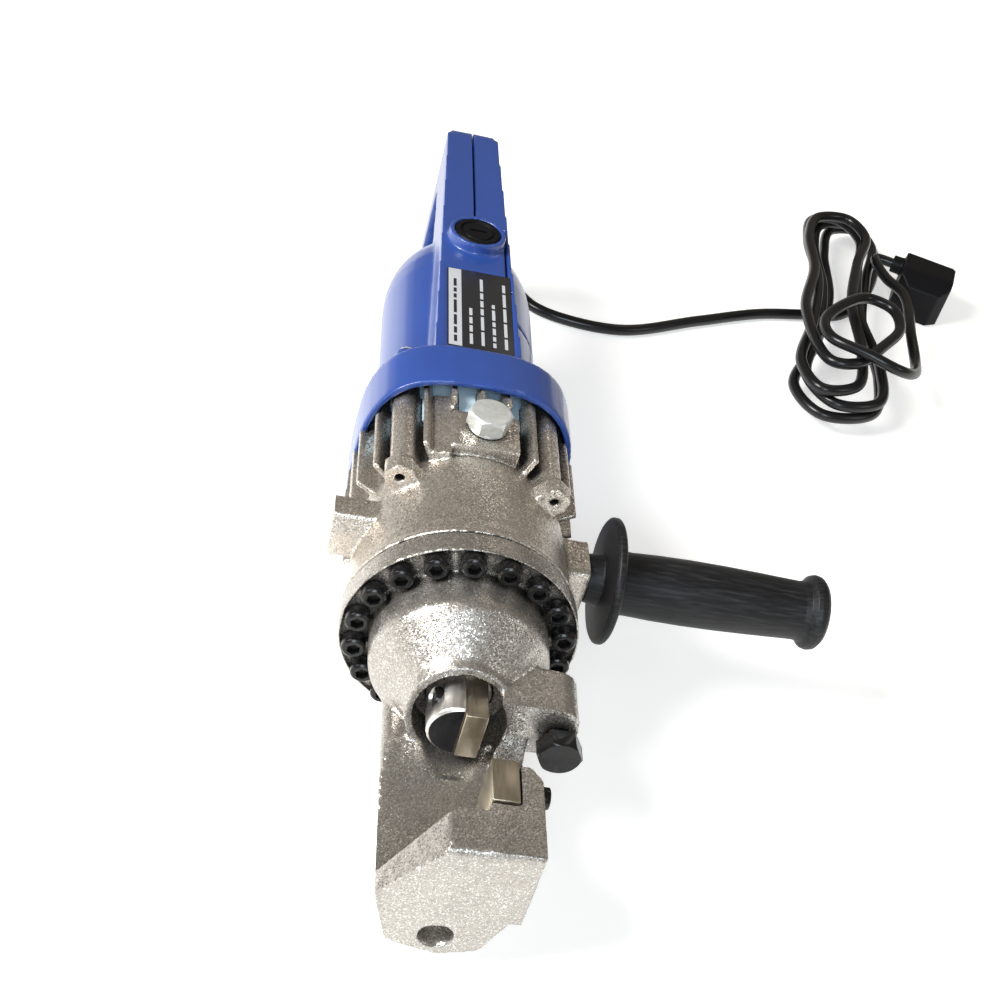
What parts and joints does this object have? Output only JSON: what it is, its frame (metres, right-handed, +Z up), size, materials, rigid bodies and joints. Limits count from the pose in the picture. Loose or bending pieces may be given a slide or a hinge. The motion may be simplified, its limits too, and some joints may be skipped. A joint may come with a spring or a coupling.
{
  "type": "metal shear",
  "caption": "Hand-held electro-hydraulic bar shear: open C-shaped cutting head with a sliding blade, finned pump casing, motor housing with closed rear handle, side handle, cord and plug.",
  "frame": {"origin": "where the axis of the cylinder and piston rod meets the flat front face of the nose", "axes": "+Y along the cylinder axis from the nose to the rear handle, +Z up to the handle's spine, +X to the side handle"},
  "size_m": [0.4092, 0.633, 0.1152],
  "materials": {
    "cast_head": "sparkling as-cast steel, lightly blasted",
    "cast_casing": "grey-brown as-cast aluminium",
    "blade_steel": "ground tool steel",
    "chrome_rod": "hard-chromed ground rod",
    "black_oxide": "black oxide, slightly oily",
    "zinc_plate": "bright zinc plate",
    "gear_steel": "machined steel",
    "blue_housing": "semi-gloss moulded nylon",
    "black_plastic": "moulded, satin",
    "black_grip": "matte moulded grip, lightly scuffed",
    "black_rubber": "smooth satin cord sheath",
    "clear_blue": "pale blue translucent moulding",
    "copper_winding": "lacquered copper winding",
    "carbon": "carbon",
    "label": null
  },
  "bodies": {
    "frame": {"cutter_head": "cast_head", "fixed_blade": "blade_steel", "fixed_blade_screw": "black_oxide", "flange_screw_01": "black_oxide", "flange_screw_02": "black_oxide", "flange_screw_03": "black_oxide", "flange_screw_04": "black_oxide", "flange_screw_05": "black_oxide", "flange_screw_06": "black_oxide", "flange_screw_07": "black_oxide", "flange_screw_08": "black_oxide", "flange_screw_09": "black_oxide", "flange_screw_10": "black_oxide", "flange_screw_11": "black_oxide", "flange_screw_12": "black_oxide", "flange_screw_13": "black_oxide", "flange_screw_14": "black_oxide", "flange_screw_15": "black_oxide", "flange_screw_16": "black_oxide", "flange_screw_17": "black_oxide", "flange_screw_18": "black_oxide", "return_spring": "gear_steel", "pump_casing": "cast_casing", "oil_plug": "zinc_plate", "oil_plug_washer": "zinc_plate", "gear_cover": "cast_casing", "stator": "gear_steel", "fan_baffle": "clear_blue", "front_bearing": "gear_steel", "rear_bearing": "gear_steel", "brush_top": "carbon", "brush_bottom": "carbon", "brush_cap_top": "black_plastic", "brush_cap_bottom": "black_plastic", "motor_housing": "blue_housing", "handle_cover": "blue_housing", "housing_screw_1": "zinc_plate", "housing_screw_2": "zinc_plate", "housing_screw_3": "zinc_plate", "housing_screw_4": "zinc_plate", "label_plate": "label", "switch_body": "black_plastic", "side_handle": "black_grip", "strain_relief": "black_rubber", "power_cord": "black_rubber", "mains_plug": "black_plastic"},
    "ram": {"piston": "chrome_rod", "moving_blade": "blade_steel", "moving_blade_screw": "black_oxide", "piston_seal": "black_rubber"},
    "motor_rotor": {"armature": "copper_winding", "fan": "black_plastic"},
    "intermediate_shaft": {"intermediate_gear": "gear_steel"},
    "eccentric": {"eccentric_shaft": "gear_steel", "eccentric_bearing": "gear_steel", "output_gear": "gear_steel"},
    "plunger": {"pump_plunger": "gear_steel"},
    "trigger": {"trigger": "black_plastic"},
    "stopper": {"stopper_bolt": "black_oxide"},
    "release_valve": {"release_valve": "black_oxide"}
  },
  "joints": [
    {"name": "piston_slide", "type": "slide", "parent": "frame", "child": "ram", "axis": [0, -1, 0], "range_m": [0, 0.024], "deforming": ["return_spring"]},
    {"name": "armature_spin", "type": "hinge", "parent": "frame", "child": "motor_rotor", "pos_m": [0, 0.277, 0], "axis": [0, 1, 0], "continuous": true},
    {"name": "intermediate_spin", "type": "hinge", "parent": "frame", "child": "intermediate_shaft", "pos_m": [-0.0192, 0.197, 0], "axis": [0, 1, 0], "continuous": true},
    {"name": "eccentric_spin", "type": "hinge", "parent": "frame", "child": "eccentric", "pos_m": [0, 0.187, 0], "axis": [0, 1, 0], "continuous": true},
    {"name": "plunger_slide", "type": "slide", "parent": "frame", "child": "plunger", "axis": [1, 0, 0], "range_m": [0, 0.004]},
    {"name": "trigger_slide", "type": "slide", "parent": "frame", "child": "trigger", "axis": [0, 0, 1], "range_m": [0, 0.006]},
    {"name": "stopper_screw", "type": "slide", "parent": "frame", "child": "stopper", "axis": [0, -1, 0], "range_m": [0, 0.01]},
    {"name": "release_valve_turn", "type": "hinge", "parent": "frame", "child": "release_valve", "pos_m": [0.048, 0.152, -0.026], "axis": [1, 0, 0], "range_deg": [0, 90]}
  ],
  "couplings": [
    {"joint": "intermediate_spin", "follows": "armature_spin", "ratio": -0.33333},
    {"joint": "eccentric_spin", "follows": "armature_spin", "ratio": 0.13043}
  ]
}
